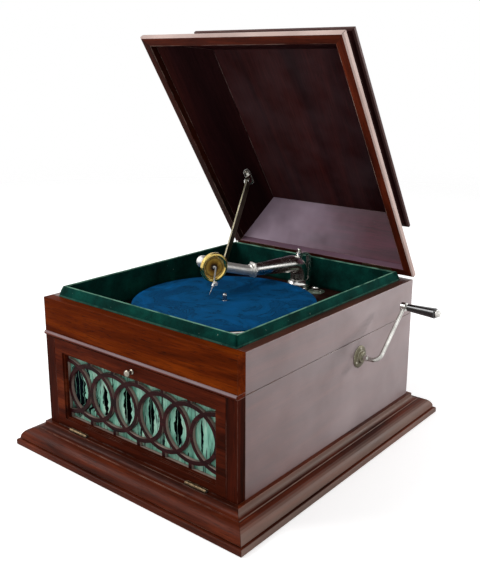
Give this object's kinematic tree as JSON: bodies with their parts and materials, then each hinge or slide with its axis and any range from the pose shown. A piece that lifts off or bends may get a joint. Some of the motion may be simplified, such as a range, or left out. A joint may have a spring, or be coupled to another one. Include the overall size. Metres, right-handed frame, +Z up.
{
  "type": "tabletop gramophone",
  "caption": "Wind-up tabletop gramophone in a mahogany cabinet with a raised lid, felt turntable, swinging sound arm, side crank and a hinged fretwork door over its horn.",
  "frame": {"origin": "on the floor under the middle of the cabinet, on the underside of the base slab", "axes": "+X to the side with the crank, +Y to the back, where the lid is hinged, +Z up"},
  "size_m": [0.5399, 0.566, 0.6654],
  "materials": {
    "mahogany": "french polished mahogany",
    "dark_mahogany": "dark polished mahogany",
    "deck_wood": "stained board, worn satin",
    "fret_wood": "dark stained fretwork",
    "green_plush": "cotton plush pile",
    "blue_felt": "worn wool felt",
    "pale_silk": "frayed woven silk",
    "nickel": "polished nickel plate, lightly aged",
    "steel": "ground steel",
    "cast_iron": "blackened casting",
    "brass": "turned brass",
    "gilt": "gilt lacquered brass",
    "ebony": "ebonised, polished",
    "mica": "split mica",
    "leather": "plain",
    "dial_enamel": "baked enamel"
  },
  "bodies": {
    "cabinet": {"base_board": "mahogany", "plinth_moulding": "mahogany", "left_panel": "mahogany", "right_panel": "mahogany", "back_panel": "mahogany", "front_posts": "mahogany", "front_band": "mahogany", "front_bead": "mahogany", "front_sill": "mahogany", "motor_board": "deck_wood", "tone_chamber": "deck_wood", "front_lining": "green_plush", "back_lining": "green_plush", "side_linings": "green_plush", "throat_elbow": "cast_iron", "motor_frame": "cast_iron", "crank_escutcheon": "nickel", "stay_guide": "nickel", "tonearm_base": "nickel", "pivot_screw": "nickel", "fixed_hinge_leaves": "brass", "hinge_pins": "steel", "speed_plate": "dial_enamel"},
    "lid": {"lid_rim": "mahogany", "lid_front_slope": "dark_mahogany", "lid_rear_slope": "dark_mahogany", "lid_side_slopes": "dark_mahogany", "lid_top": "dark_mahogany", "lid_cornice": "dark_mahogany", "lid_hinge_leaves": "brass", "stay_bracket": "nickel"},
    "stay": {"lid_stay": "nickel"},
    "door": {"door_frame": "mahogany", "fretwork": "fret_wood", "grille_cloth": "pale_silk", "door_knob": "brass", "door_hinge_leaves": "brass"},
    "turntable": {"turntable_platter": "nickel", "turntable_felt": "blue_felt", "spindle": "steel"},
    "crank": {"crank_arm": "nickel", "grip_pin": "nickel", "winding_shaft": "steel"},
    "grip": {"crank_grip": "ebony"},
    "arbor": {"barrel_arbor": "steel"},
    "barrel": {"spring_barrel": "cast_iron", "mainspring": "steel"},
    "intermediate": {"intermediate_gear": "brass"},
    "governor": {"governor": "brass"},
    "tonearm": {"tonearm_tube": "nickel"},
    "gooseneck": {"gooseneck": "nickel", "stylus_bar": "nickel", "soundbox_shell": "gilt", "soundbox_bezel": "gilt", "diaphragm": "mica", "needle": "steel"},
    "speed_control": {"speed_knob": "nickel"},
    "regulator": {"regulator_rod": "steel"},
    "brake": {"brake_lever": "nickel", "brake_pad": "leather"}
  },
  "joints": [
    {"name": "lid_hinge", "type": "hinge", "parent": "cabinet", "child": "lid", "pos_m": [0, 0.2375, 0.25225], "axis": [1, 0, 0], "range_deg": [0, 57.5]},
    {"name": "stay_swing", "type": "hinge", "parent": "lid", "child": "stay", "pos_m": [-0.14, 0.19866, 0.39511], "axis": [1, 0, 0], "range_deg": [-24, 0]},
    {"name": "door_hinge", "type": "hinge", "parent": "cabinet", "child": "door", "pos_m": [0, -0.238, 0.0413], "axis": [1, 0, 0], "range_deg": [0, 90]},
    {"name": "turntable_spin", "type": "hinge", "parent": "cabinet", "child": "turntable", "pos_m": [0, -0.031, 0.23], "axis": [0, 0, 1], "continuous": true},
    {"name": "intermediate_spin", "type": "hinge", "parent": "cabinet", "child": "intermediate", "pos_m": [0.03, -0.031, 0.166], "axis": [1, 0, 0], "continuous": true},
    {"name": "barrel_spin", "type": "hinge", "parent": "cabinet", "child": "barrel", "pos_m": [0, 0.01521, 0.153], "axis": [1, 0, 0], "continuous": true},
    {"name": "governor_spin", "type": "hinge", "parent": "cabinet", "child": "governor", "pos_m": [0.0164, -0.06, 0.137], "axis": [0, 1, 0], "continuous": true},
    {"name": "crank_turn", "type": "hinge", "parent": "cabinet", "child": "crank", "pos_m": [0.2, 0.065, 0.161], "axis": [1, 0, 0], "continuous": true},
    {"name": "arbor_turn", "type": "hinge", "parent": "cabinet", "child": "arbor", "pos_m": [0, 0.01521, 0.153], "axis": [1, 0, 0], "continuous": true},
    {"name": "grip_spin", "type": "hinge", "parent": "crank", "child": "grip", "pos_m": [0.2415, 0.14019, 0.23285], "axis": [1, 0, 0], "continuous": true},
    {"name": "tonearm_swing", "type": "hinge", "parent": "cabinet", "child": "tonearm", "pos_m": [-0.002, 0.178, 0.26], "axis": [0, 0, 1], "range_deg": [-32, 9]},
    {"name": "gooseneck_turn", "type": "hinge", "parent": "tonearm", "child": "gooseneck", "pos_m": [-0.03322, 0.08468, 0.26], "axis": [-0.3173, -0.9483, 0], "range_deg": [0, 90]},
    {"name": "speed_turn", "type": "hinge", "parent": "cabinet", "child": "speed_control", "pos_m": [0.037, 0.178, 0.212], "axis": [0, 0, 1], "range_deg": [-18, 18]},
    {"name": "regulator_slide", "type": "slide", "parent": "cabinet", "child": "regulator", "axis": [0, 1, 0], "range_m": [-0.0048, 0.0048]},
    {"name": "brake_swing", "type": "hinge", "parent": "cabinet", "child": "brake", "pos_m": [0.07727, -0.18221, 0.212], "axis": [0, 0, 1], "range_deg": [0, 12]}
  ],
  "couplings": [
    {"joint": "stay_swing", "follows": "lid_hinge", "ratio": -0.41125},
    {"joint": "intermediate_spin", "follows": "turntable_spin", "ratio": -0.36364},
    {"joint": "barrel_spin", "follows": "turntable_spin", "ratio": 0.072727},
    {"joint": "governor_spin", "follows": "turntable_spin", "ratio": 14},
    {"joint": "arbor_turn", "follows": "crank_turn", "ratio": -0.4},
    {"joint": "regulator_slide", "follows": "speed_turn", "m_per_rad": 0.015}
  ]
}
